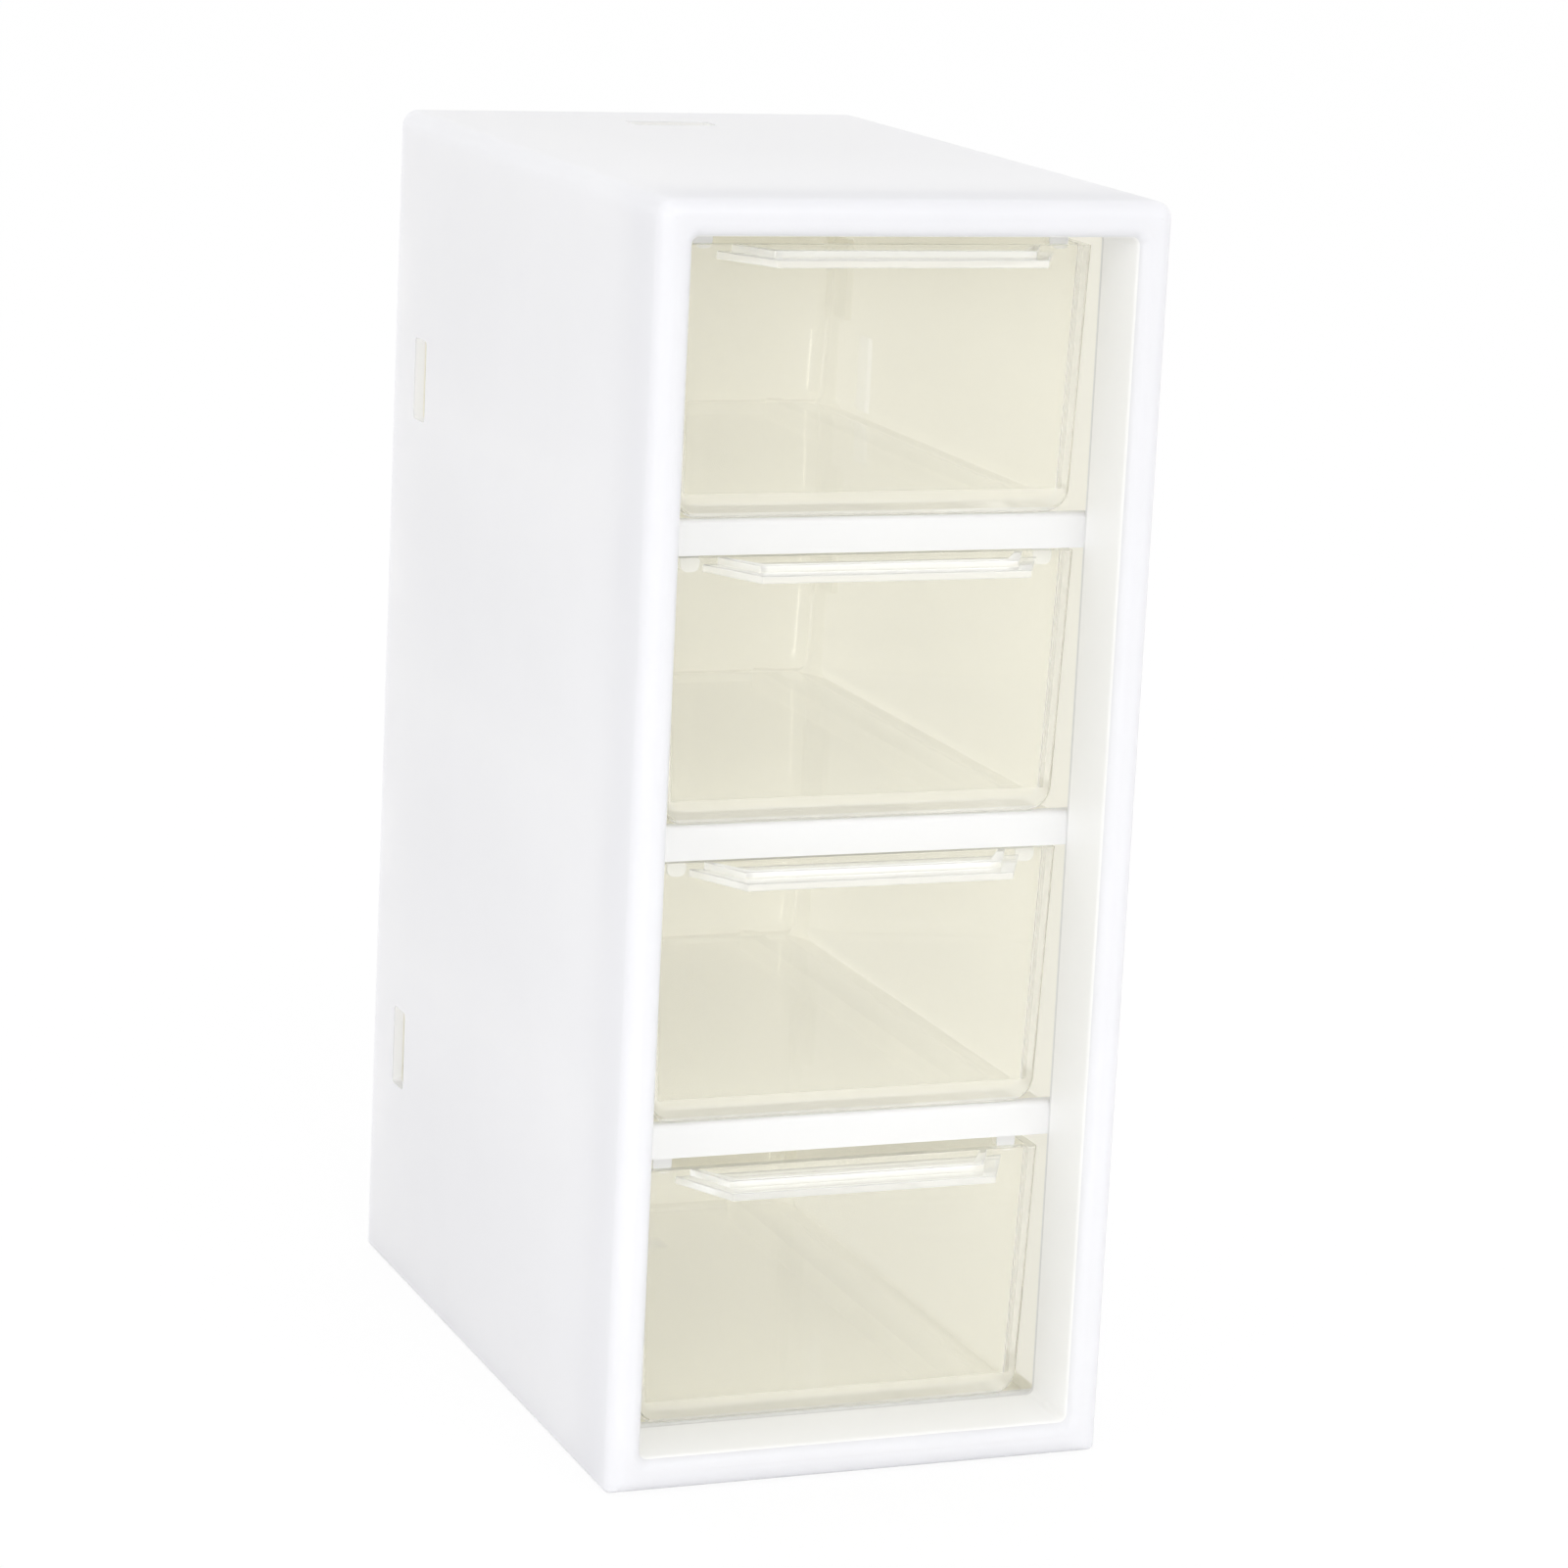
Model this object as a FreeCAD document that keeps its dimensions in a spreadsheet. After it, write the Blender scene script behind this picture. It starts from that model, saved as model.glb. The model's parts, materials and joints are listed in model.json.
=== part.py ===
import FreeCAD, Part
import Sketcher
import math
import os
import re

# Desktop mini drawers: a white moulded case with four clear drawers that slide out of the front.
# Every piece is drawn with the front plane of the case at Y 0 and +Y towards the back, and is then
# placed so that the origin is the middle of the underside.

# Driving sizes in millimetres, each with what it measures on the real object.
SIZES = {
    # Outside of the case
    "case_width": (83.0, "width of the case, side to side"),
    "case_depth": (129.0, "depth of the case, front to back"),
    "case_height": (200.0, "height of the case"),
    "wall": (1.8, "thickness of the side walls, floor, top and shelves"),
    "edge_round": (2.6, "round on the front edges and the long top edges"),
    "foot_round": (1.0, "round on the long bottom edges"),
    "rear_round": (0.7, "round on the rear edges"),
    # Front recess, in which the handles are sunk
    "rim_width": (5.4, "width of the front rim, seen from the front"),
    "rim_skin": (2.2, "thickness of the rim's front, ahead of the hollow behind it"),
    "rim_inner_round": (2.0, "round on the inner edge of the rim"),
    "recess_depth": (13.2, "depth of the recess, from the front to the crossbars"),
    "recess_narrowing": (0.7, "how far each wall of the recess leans in towards the back"),
    "recess_corner": (1.2, "round in the corners of the recess"),
    "recess_wall": (1.7, "thickness of the recess walls"),
    # Crossbars and shelves
    "end_margin": (5.0, "from the ends of the case to the first and last lines of the bay pitch"),
    "bar_height": (5.5, "height of a crossbar"),
    "bar_thickness": (2.0, "thickness of a crossbar, front to back"),
    "bar_round": (1.0, "round on the top front edge of a crossbar"),
    # Runner ribs, on which the drawers slide
    "rib_width": (2.5, "width of a runner rib"),
    "rib_spread": (24.5, "from the middle of the case to the middle of a rib"),
    "rib_end_gap": (5.0, "from the rear end of a rib to the rear end of its shelf"),
    # Stop nubs, which the back wall of a pulled drawer meets
    "nub_width": (3.1, "width of a stop nub"),
    "nub_thickness": (2.0, "thickness of a stop nub, front to back"),
    "nub_drop": (2.8, "how far a nub hangs below its crossbar"),
    "nub_spread": (29.15, "from the middle of the case to the middle of a nub"),
    "nub_round": (1.2, "round on the lower corners of a nub"),
    "nub_play": (0.3, "gap between a nub and the front wall of a closed drawer"),
    # Slots for the clips that join two cases
    "side_slot_height": (13.7, "height of a slot in a side wall"),
    "side_slot_width": (6.3, "width of a slot in a side wall, front to back"),
    "side_slot_from_rear": (14.7, "from the rear end to the middle of a side slot"),
    "upper_slot_drop": (43.7, "from the top to the middle of the upper side slots"),
    "lower_slot_rise": (40.2, "from the underside to the middle of the lower side slots"),
    "top_slot_length": (14.5, "length of the slot in the top, side to side"),
    "top_slot_width": (6.5, "width of the slot in the top, front to back"),
    "top_slot_from_rear": (18.5, "from the rear end to the middle of the top slot"),
    "slot_corner": (0.8, "round in the corners of the slots"),
    # Back panel, pressed into the rear opening
    "panel_thickness": (1.8, "thickness of the back panel"),
    "panel_inset": (0.8, "how deep the panel sits in the rear opening"),
    "panel_play": (0.15, "gap round the panel and between its tabs and the side walls"),
    "seat_play": (0.1, "gap between the panel and the ends of the shelves"),
    "tab_height": (14.0, "height of a snap tab of the panel"),
    "tab_reach": (5.5, "how far a tab reaches ahead of the panel"),
    "tab_thickness": (1.3, "thickness of a tab"),
    "ridge_height": (0.4, "how far the snap ridge stands out of a tab"),
    "ridge_width": (1.6, "width of the snap ridge at its foot"),
    "ridge_end_gap": (0.7, "from the end of a tab to its snap ridge"),
    # Drawers
    "slide_play": (0.15, "gap between a closed drawer and the ribs below it"),
    "headroom": (0.35, "gap between a drawer and the crossbar above it"),
    "side_play": (1.4, "gap between a drawer and the recess, each side"),
    "front_setback": (0.2, "how far a drawer front sits behind the front of the crossbars"),
    "rear_gap": (7.0, "from the back of a closed drawer to the back panel"),
    "drawer_wall": (1.6, "thickness of a drawer's walls and bottom"),
    "drawer_side_lean": (1.45, "how far each side leans in from its top to its bottom"),
    "drawer_round": (3.8, "round on the long bottom edges and the back edges of a drawer"),
    "drawer_front_round": (0.8, "round on the edges of a drawer's front"),
    # Handle, moulded in one with its drawer
    "handle_reach": (10.8, "how far the handle stands out of the drawer front"),
    "handle_width": (44.0, "width of the handle at its front edge"),
    "handle_root_width": (55.2, "width of the handle where it meets the drawer front"),
    "handle_drop": (2.2, "from the top of the drawer to the underside of the handle"),
    "handle_plate": (1.2, "thickness of the handle's plate"),
    "handle_edge_round": (0.35, "round on the outer edges of the handle's plate"),
    "lip_setback": (3.2, "from the front edge of the handle to its raised lip"),
    "lip_side_inset": (2.4, "from the ends of the handle to its raised lip"),
    "lip_thickness": (1.4, "thickness of the raised lip"),
    # Working values
    "overrun": (1.0, "how far a cut runs past the face that it opens"),
    "near": (0.01, "how close an edge lies to a place to be found there"),
}

# Sizes that follow from the driving sizes.
FOLLOWING = {
    "half_width": "case_width / 2",
    "inner_half": "half_width - wall",
    "inner_top": "case_height - wall",
    "mouth_half": "half_width - rim_width",
    "mouth_top": "case_height - rim_width",
    "window_half": "mouth_half - recess_narrowing",
    "sill": "rim_width + recess_narrowing",
    "ceiling": "case_height - sill",
    "bar_back": "recess_depth + bar_thickness",
    "bay_pitch": "(case_height - 2 * end_margin) / 4",
    "middle_bay": "bay_pitch - bar_height",
    "end_bay": "case_height / 2 - bar_height / 2 - bay_pitch - sill",
    "lower_bar_bottom": "case_height / 2 - bay_pitch - bar_height / 2",
    "middle_bar_bottom": "case_height / 2 - bar_height / 2",
    "upper_bar_bottom": "case_height / 2 + bay_pitch - bar_height / 2",
    "lower_bar_top": "lower_bar_bottom + bar_height",
    "middle_bar_top": "middle_bar_bottom + bar_height",
    "upper_bar_top": "upper_bar_bottom + bar_height",
    "panel_front": "case_depth - panel_inset - panel_thickness",
    "shelf_end": "panel_front - seat_play",
    "drawer_front": "recess_depth + front_setback",
    "drawer_length": "panel_front - rear_gap - drawer_front",
    "drawer_height": "min(middle_bay; end_bay) - slide_play - headroom",
    "drawer_half": "window_half - side_play",
    "drawer_slope": "drawer_side_lean / drawer_height",
    "nub_front": "drawer_front + drawer_wall + nub_play",
    "side_slot_middle": "case_depth - side_slot_from_rear",
    "top_slot_middle": "case_depth - top_slot_from_rear",
    "panel_half": "inner_half - panel_play",
    "handle_base": "drawer_height - handle_drop",
    "lip_base": "handle_base + handle_plate",
    "handle_lean": "(handle_root_width - handle_width) / 2 / handle_reach",
}

# Each bay from the bottom of the case to its top: its floor, the underside of what closes it,
# the plate that its ribs stand on, and the plate that its nubs hang from.
BAYS = {
    "drawer_bottom": ("sill", "lower_bar_bottom", "wall", "lower_bar_bottom"),
    "drawer_lower": ("lower_bar_top", "middle_bar_bottom", "lower_bar_bottom + wall", "middle_bar_bottom"),
    "drawer_upper": ("middle_bar_top", "upper_bar_bottom", "middle_bar_bottom + wall", "upper_bar_bottom"),
    "drawer_top": ("upper_bar_top", "ceiling", "upper_bar_bottom + wall", "inner_top"),
}
SIDES = (-1, 1)

doc = FreeCAD.newDocument("mini_drawers")
sheet = doc.addObject("Spreadsheet::Sheet", "Sizes")


def fill_sheet():
    """Write the driving sizes and the sizes that follow from them, each with its alias."""
    row = 1
    for name, (value, meaning) in SIZES.items():
        sheet.set(f"A{row}", name)
        sheet.set(f"B{row}", str(value))
        sheet.set(f"C{row}", meaning)
        sheet.setAlias(f"B{row}", name)
        row += 1
    doc.recompute()
    for name, formula in FOLLOWING.items():
        sheet.set(f"A{row}", name)
        sheet.set(f"B{row}", "=" + formula)
        sheet.setAlias(f"B{row}", name)
        doc.recompute()
        row += 1


def bound(text):
    """The same sum with each name read from the sheet."""
    return re.sub(r"[a-z][a-z_]*", lambda found: "Sizes." + found.group(0), text)


def size(text):
    """The value of a sum of named sizes."""
    return float(sheet.evalExpression(bound(text)))


def new_body(name):
    body = doc.addObject("PartDesign::Body", name)
    body.Label = name
    return body


def new_sketch(body, name, plane, offset="0"):
    """A sketch on one of the body's own origin planes, moved along the plane's normal."""
    sketch = body.newObject("Sketcher::SketchObject", name)
    support = [item for item in body.Origin.OriginFeatures if item.Role == plane][0]
    sketch.AttachmentSupport = [(support, "")]
    sketch.MapMode = "FlatFace"
    if offset != "0":
        sketch.setExpression("AttachmentOffset.Base.z", bound(offset))
    doc.recompute()
    return sketch


def tie(sketch, kind, line, point, text):
    """Fix one coordinate of a point to a sum of named sizes."""
    place = sketch.addConstraint(Sketcher.Constraint(kind, -1, 1, line, point, size(text)))
    sketch.setExpression(f"Constraints[{place}]", bound(text))


def outline(sketch, corners):
    """A closed outline of straight lines, each corner tied to two sums of named sizes."""
    places = [FreeCAD.Vector(size(across), size(up), 0) for across, up in corners]
    first = sketch.GeometryCount
    count = len(corners)
    for index in range(count):
        sketch.addGeometry(Part.LineSegment(places[index], places[(index + 1) % count]), False)
    for index in range(count):
        following = first + (index + 1) % count
        sketch.addConstraint(Sketcher.Constraint("Coincident", first + index, 2, following, 1))
    for index, (across, up) in enumerate(corners):
        tie(sketch, "DistanceX", first + index, 1, across)
        tie(sketch, "DistanceY", first + index, 1, up)


def rectangle(sketch, left, right, low, high):
    outline(sketch, [(left, low), (right, low), (right, high), (left, high)])


def rounded_rectangle(sketch, left, right, low, high, radius):
    """A rectangle with four equal round corners, each line tied to sums of named sizes."""
    in_left, in_right = f"{left} + {radius}", f"{right} - ({radius})"
    in_low, in_high = f"{low} + {radius}", f"{high} - ({radius})"
    lines = [((in_left, low), (in_right, low)), ((right, in_low), (right, in_high)),
             ((in_right, high), (in_left, high)), ((left, in_high), (left, in_low))]
    centres = [(in_right, in_low), (in_right, in_high), (in_left, in_high), (in_left, in_low)]
    first = sketch.GeometryCount
    for start, end in lines:
        places = [FreeCAD.Vector(size(across), size(up), 0) for across, up in (start, end)]
        sketch.addGeometry(Part.LineSegment(*places), False)
    for index, (across, up) in enumerate(centres):
        centre = FreeCAD.Vector(size(across), size(up), 0)
        circle = Part.Circle(centre, FreeCAD.Vector(0, 0, 1), size(radius))
        start = (index - 1) * math.pi / 2
        sketch.addGeometry(Part.ArcOfCircle(circle, start, start + math.pi / 2), False)
    for index, ends in enumerate(lines):
        for point, (across, up) in zip((1, 2), ends):
            tie(sketch, "DistanceX", first + index, point, across)
            tie(sketch, "DistanceY", first + index, point, up)
    for index in range(4):
        arc = first + 4 + index
        sketch.addConstraint(Sketcher.Constraint("Coincident", arc, 1, first + index, 2))
        sketch.addConstraint(Sketcher.Constraint("Coincident", arc, 2, first + (index + 1) % 4, 1))
        place = sketch.addConstraint(Sketcher.Constraint("Radius", arc, size(radius)))
        sketch.setExpression(f"Constraints[{place}]", bound(radius))


def settle(body, feature, grows=None):
    """Recompute, and stop if the feature failed or left the solid as it was."""
    before = feature.BaseFeature.Shape.Volume if feature.BaseFeature else 0
    doc.recompute()
    after = body.Shape.Volume
    if not feature.isValid() or (grows is True and after <= before) or (grows is False and after >= before):
        raise RuntimeError(f"{feature.Name}: {before} to {after}")
    return feature


def pad(body, name, sketch, length, reverse=False, both_ways=False):
    feature = body.newObject("PartDesign::Pad", name)
    feature.Profile = sketch
    feature.setExpression("Length", bound(length))
    feature.Reversed = reverse
    feature.Midplane = both_ways
    return settle(body, feature, True)


def pocket(body, name, sketch, length, reverse=False):
    feature = body.newObject("PartDesign::Pocket", name)
    feature.Profile = sketch
    feature.setExpression("Length", bound(length))
    feature.Reversed = reverse
    return settle(body, feature, False)


def loft(body, kind, name, start, end):
    feature = body.newObject("PartDesign::" + kind, name)
    feature.Profile = start
    feature.Sections = [end]
    feature.Ruled = True
    return settle(body, feature, kind == "AdditiveLoft")


def near(value, text):
    return abs(value - size(text)) < size("near")


def edges_where(body, test):
    return [f"Edge{index + 1}" for index, edge in enumerate(body.Shape.Edges) if test(edge, edge.BoundBox)]


def fillet(body, name, radius, test):
    feature = body.newObject("PartDesign::Fillet", name)
    feature.Base = (body.Tip if body.Tip != feature else feature.BaseFeature, edges_where(body, test))
    feature.setExpression("Radius", bound(radius))
    return settle(body, feature)


def make_case():
    """The moulded case: rounded block, hollow from the rear, with a drafted recess in its front."""
    body = new_body("case_shell")

    block = new_sketch(body, "case_outline", "XZ_Plane")
    rectangle(block, "-half_width", "half_width", "0", "case_height")
    pad(body, "case_block", block, "case_depth", reverse=True)

    def front_or_top(edge, box):
        at_front = near(box.YMax, "0")
        long_top = near(box.ZMin, "case_height") and near(box.XLength, "0")
        return at_front or long_top
    fillet(body, "front_and_top_rounds", "edge_round", front_or_top)
    fillet(body, "foot_rounds", "foot_round",
           lambda edge, box: near(box.ZMax, "0") and near(box.XLength, "0"))
    fillet(body, "rear_rounds", "rear_round", lambda edge, box: near(box.YMin, "case_depth"))

    hollow = new_sketch(body, "hollow_outline", "XZ_Plane", "-rim_skin")
    rectangle(hollow, "-inner_half", "inner_half", "wall", "inner_top")
    pocket(body, "hollow", hollow, "case_depth")

    make_bars(body)
    make_recess(body)
    make_ribs(body)
    make_nubs(body)
    make_slots(body)
    make_snap_grooves(body)
    return body


def make_bars(body):
    """Crossbars with their shelves, and the bars at the sill and under the top."""
    profile = new_sketch(body, "bar_profiles", "YZ_Plane")
    for low in ("lower_bar_bottom", "middle_bar_bottom", "upper_bar_bottom"):
        outline(profile, [
            ("recess_depth", low), ("shelf_end", low), ("shelf_end", low + " + wall"),
            ("bar_back", low + " + wall"), ("bar_back", low + " + bar_height"),
            ("recess_depth", low + " + bar_height")])
    rectangle(profile, "recess_depth", "bar_back", "wall", "sill")
    rectangle(profile, "recess_depth", "bar_back", "ceiling", "inner_top")
    pad(body, "bars_and_shelves", profile, "2 * inner_half", both_ways=True)

    tops = ("sill", "lower_bar_top", "middle_bar_top", "upper_bar_top")

    def bar_edge(edge, box):
        at_top = any(near(box.ZMin, top) and near(box.ZMax, top) for top in tops)
        return at_top and near(box.YMin, "recess_depth") and near(box.YMax, "recess_depth")
    fillet(body, "bar_rounds", "bar_round", bar_edge)


def make_recess(body):
    """The recess walls, which lean in towards the crossbars and are hollow behind."""
    behind = "recess_wall"
    front = new_sketch(body, "recess_wall_front", "XZ_Plane", "-rim_skin")
    rounded_rectangle(front, "-mouth_half - " + behind, "mouth_half + " + behind,
                      "rim_width - " + behind, "mouth_top + " + behind, "recess_corner + " + behind)
    back = new_sketch(body, "recess_wall_back", "XZ_Plane", "-recess_depth")
    rounded_rectangle(back, "-window_half - " + behind, "window_half + " + behind,
                      "sill - " + behind, "ceiling + " + behind, "recess_corner + " + behind)
    loft(body, "AdditiveLoft", "recess_walls", front, back)

    mouth = new_sketch(body, "mouth_outline", "XZ_Plane")
    rounded_rectangle(mouth, "-mouth_half", "mouth_half", "rim_width", "mouth_top", "recess_corner")
    window = new_sketch(body, "window_outline", "XZ_Plane", "-recess_depth")
    rounded_rectangle(window, "-window_half", "window_half", "sill", "ceiling", "recess_corner")
    loft(body, "SubtractiveLoft", "recess", mouth, window)

    def rim_edge(edge, box):
        inside = max(abs(box.XMin), abs(box.XMax)) < size("mouth_half + near")
        return near(box.YMax, "0") and inside
    fillet(body, "rim_rounds", "rim_inner_round", rim_edge)


def make_ribs(body):
    """A pair of runner ribs on each shelf and on the floor, level with the top of the bar."""
    profile = new_sketch(body, "rib_profiles", "XZ_Plane", "-bar_back")
    for floor, _, plate, _ in BAYS.values():
        for side in SIDES:
            middle = f"{side} * rib_spread"
            rectangle(profile, middle + " - rib_width / 2", middle + " + rib_width / 2", plate, floor)
    pad(body, "runner_ribs", profile, "shelf_end - rib_end_gap - bar_back", reverse=True)


def make_nubs(body):
    """Two stop nubs in each bay, just behind the closed drawer's front."""
    profile = new_sketch(body, "nub_profiles", "XZ_Plane", "-nub_front")
    for _, underside, _, carrier in BAYS.values():
        for side in SIDES:
            middle = f"{side} * nub_spread"
            rectangle(profile, middle + " - nub_width / 2", middle + " + nub_width / 2",
                      underside + " - nub_drop", carrier)
    pad(body, "stop_nubs", profile, "nub_thickness", reverse=True)

    levels = [underside + " - nub_drop" for _, underside, _, _ in BAYS.values()]

    def lower_corner(edge, box):
        at_foot = any(near(box.ZMax, level) for level in levels)
        return at_foot and near(box.XLength, "0") and near(box.YLength, "nub_thickness")
    fillet(body, "nub_rounds", "nub_round", lower_corner)


def make_slots(body):
    """Slots through the thin walls for joining clips: two in each side, one in the top and base."""
    middles = ("case_height - upper_slot_drop", "lower_slot_rise")
    for side, name in zip(SIDES, ("left", "right")):
        sketch = new_sketch(body, name + "_slot_outlines", "YZ_Plane", f"{side} * half_width")
        for middle in middles:
            rectangle(sketch, "side_slot_middle - side_slot_width / 2",
                      "side_slot_middle + side_slot_width / 2",
                      middle + " - side_slot_height / 2", middle + " + side_slot_height / 2")
        pocket(body, name + "_slots", sketch, "wall + overrun", reverse=side < 0)
    for level, name in (("case_height", "top"), ("0", "base")):
        sketch = new_sketch(body, name + "_slot_outline", "XY_Plane", level)
        rectangle(sketch, "-top_slot_length / 2", "top_slot_length / 2",
                  "top_slot_middle - top_slot_width / 2", "top_slot_middle + top_slot_width / 2")
        pocket(body, name + "_slot", sketch, "wall + overrun", reverse=level == "0")

    def slot_corner(edge, box):
        through_side = near(box.XLength, "wall") and near(box.YLength, "0") and near(box.ZLength, "0")
        in_side_slot = near(abs(box.YMin - size("side_slot_middle")), "side_slot_width / 2")
        through_plate = near(box.ZLength, "wall") and near(box.XLength, "0") and near(box.YLength, "0")
        in_top_slot = near(abs(box.XMin), "top_slot_length / 2")
        return through_side and in_side_slot or through_plate and in_top_slot
    fillet(body, "slot_corners", "slot_corner", slot_corner)


def tab_middle(bay):
    """The height of the middle of a bay, where the panel's tabs sit."""
    floor, underside, _, _ = BAYS[bay]
    return f"({floor} + {underside}) / 2"


def make_snap_grooves(body):
    """Grooves inside the side walls, which the ridges of the back panel's tabs snap into."""
    start = "panel_front - tab_reach + ridge_end_gap - panel_play"
    end = "panel_front - tab_reach + ridge_end_gap + ridge_width + panel_play"
    for bay in BAYS:
        low = tab_middle(bay) + " - tab_height / 2 - panel_play"
        sketch = new_sketch(body, bay + "_groove_outlines", "XY_Plane", low)
        for side in SIDES:
            wall_face = f"{side} * inner_half"
            deepest = f"{side} * (inner_half + ridge_height)"
            outline(sketch, [(wall_face, start), (deepest, f"({start} + {end}) / 2"), (wall_face, end)])
        pocket(body, bay + "_grooves", sketch, "tab_height + 2 * panel_play", reverse=True)


def make_panel():
    """The back panel, with a pair of snap tabs in each bay."""
    body = new_body("back_panel")
    plate = new_sketch(body, "plate_outline", "XZ_Plane", "-panel_front")
    rectangle(plate, "-panel_half", "panel_half", "wall + panel_play", "inner_top - panel_play")
    pad(body, "plate", plate, "panel_thickness", reverse=True)

    tip = "panel_front - tab_reach"
    start = tip + " + ridge_end_gap"
    end = start + " + ridge_width"
    for bay in BAYS:
        sketch = new_sketch(body, bay + "_tab_outlines", "XY_Plane", tab_middle(bay) + " - tab_height / 2")
        for side in SIDES:
            outer = f"{side} * panel_half"
            inner = f"{side} * (panel_half - tab_thickness)"
            crest = f"{side} * (panel_half + ridge_height)"
            outline(sketch, [(inner, tip), (outer, tip), (outer, start), (crest, f"({start} + {end}) / 2"),
                             (outer, end), (outer, "panel_front"), (inner, "panel_front")])
        pad(body, bay + "_tabs", sketch, "tab_height")
    return body


def trapezoid(sketch, half, low, high):
    """A drawer's section, where half is its half width at the height of the drawer's top."""
    low_half = f"({half} - drawer_slope * (drawer_height - {low}))"
    high_half = f"({half} + drawer_slope * ({high} - drawer_height))"
    outline(sketch, [("-" + low_half, low), (low_half, low), (high_half, high), ("-" + high_half, high)])


def make_drawer(name):
    """A clear drawer with its handle, drawn with its front at Y 0 and its underside at Z 0."""
    body = new_body(name)
    outside = new_sketch(body, name + "_outline", "XZ_Plane")
    trapezoid(outside, "drawer_half", "0", "drawer_height")
    pad(body, name + "_block", outside, "drawer_length", reverse=True)

    def bottom_or_back_edge(edge, box):
        long_bottom = near(box.ZMax, "0") and box.YLength > size("drawer_length / 2")
        on_back = near(box.YMin, "drawer_length") and not near(box.ZMin, "drawer_height")
        return long_bottom or on_back
    fillet(body, name + "_rounds", "drawer_round", bottom_or_back_edge)

    inside = new_sketch(body, name + "_inner_outline", "XZ_Plane", "-drawer_wall")
    trapezoid(inside, "drawer_half - drawer_wall", "drawer_wall", "drawer_height + overrun")
    pocket(body, name + "_hollow", inside, "drawer_length - 2 * drawer_wall")

    def inner_edge(edge, box):
        long_bottom = near(box.ZMax, "drawer_wall") and box.YLength > size("drawer_length / 2")
        on_back = near(box.YMin, "drawer_length - drawer_wall") and near(box.YLength, "0")
        return long_bottom or on_back and not near(box.ZMin, "drawer_height")
    fillet(body, name + "_inner_rounds", "drawer_round - drawer_wall", inner_edge)

    def front_edge(edge, box):
        return near(box.YMax, "0") and not near(box.ZMin, "drawer_height")
    fillet(body, name + "_front_rounds", "drawer_front_round", front_edge)
    make_handle(body, name)
    return body


def make_handle(body, name):
    """The handle: a plate that narrows to its front edge, with a raised lip that runs round it."""
    plate = new_sketch(body, name + "_handle_outline", "XY_Plane", "handle_base")
    outline(plate, [("-handle_root_width / 2", "drawer_wall / 2"), ("-handle_root_width / 2", "0"),
                    ("-handle_width / 2", "-handle_reach"), ("handle_width / 2", "-handle_reach"),
                    ("handle_root_width / 2", "0"), ("handle_root_width / 2", "drawer_wall / 2")])
    pad(body, name + "_handle_plate", plate, "handle_plate")

    def plate_edge(edge, box):
        level = near(box.ZLength, "0") and (near(box.ZMin, "handle_base") or near(box.ZMin, "lip_base"))
        return level and box.YMin < -size("near") and box.YMax < size("near")
    fillet(body, name + "_handle_rounds", "handle_edge_round", plate_edge)

    outer_front = "handle_width / 2 - lip_side_inset + handle_lean * lip_setback"
    outer_root = "handle_root_width / 2 - lip_side_inset"
    outer_reach = "handle_reach - lip_setback"
    lip = new_sketch(body, name + "_lip_outline", "XY_Plane", "lip_base")
    outline(lip, [
        ("-" + outer_root.replace(" - ", " + "), "drawer_wall / 2"),
        ("-" + outer_root.replace(" - ", " + "), "0"),
        ("-(" + outer_front + ")", "-(" + outer_reach + ")"),
        (outer_front, "-(" + outer_reach + ")"),
        (outer_root, "0"),
        (outer_root, "drawer_wall / 2"),
        (outer_root + " - lip_thickness", "drawer_wall / 2"),
        (outer_root + " - lip_thickness", "0"),
        (outer_front + " - lip_thickness", "lip_thickness - (" + outer_reach + ")"),
        ("-(" + outer_front + " - lip_thickness)", "lip_thickness - (" + outer_reach + ")"),
        ("-(" + outer_root + " - lip_thickness)", "0"),
        ("-(" + outer_root + " - lip_thickness)", "drawer_wall / 2")])
    pad(body, name + "_lip", lip, "drawer_height - lip_base")


def write_parts(bodies):
    """Check every object, place the pieces and write each to its own file."""
    doc.recompute()
    for item in doc.Objects:
        if "Invalid" in item.State or "Error" in item.State:
            raise RuntimeError(f"{item.Label} is {item.State}")
    os.makedirs("parts", exist_ok=True)
    for body in bodies:
        if body.Shape.isNull() or not body.Shape.isValid() or len(body.Shape.Solids) != 1:
            raise RuntimeError(f"{body.Label} is no valid single solid")
        body.Shape.exportStep(f"parts/{body.Label}.step")
        box = body.Shape.BoundBox
        print(body.Label, round(body.Shape.Volume, 1), "mm3", len(body.Shape.Faces), "faces",
              [round(value, 2) for value in (box.XMin, box.XMax, box.YMin, box.YMax, box.ZMin, box.ZMax)])


fill_sheet()
case_shell = make_case()
back_panel = make_panel()
for piece in (case_shell, back_panel):
    piece.setExpression("Placement.Base.y", bound("-case_depth / 2"))
pieces = [case_shell, back_panel]
for bay, (floor, _, _, _) in BAYS.items():
    drawer = make_drawer(bay)
    drawer.setExpression("Placement.Base.y", bound("drawer_front - case_depth / 2"))
    drawer.setExpression("Placement.Base.z", bound(floor + " + slide_play"))
    pieces.append(drawer)
write_parts(pieces)
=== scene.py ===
import json
import math
import bmesh
import bpy
from mathutils import Matrix, Vector

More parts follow.
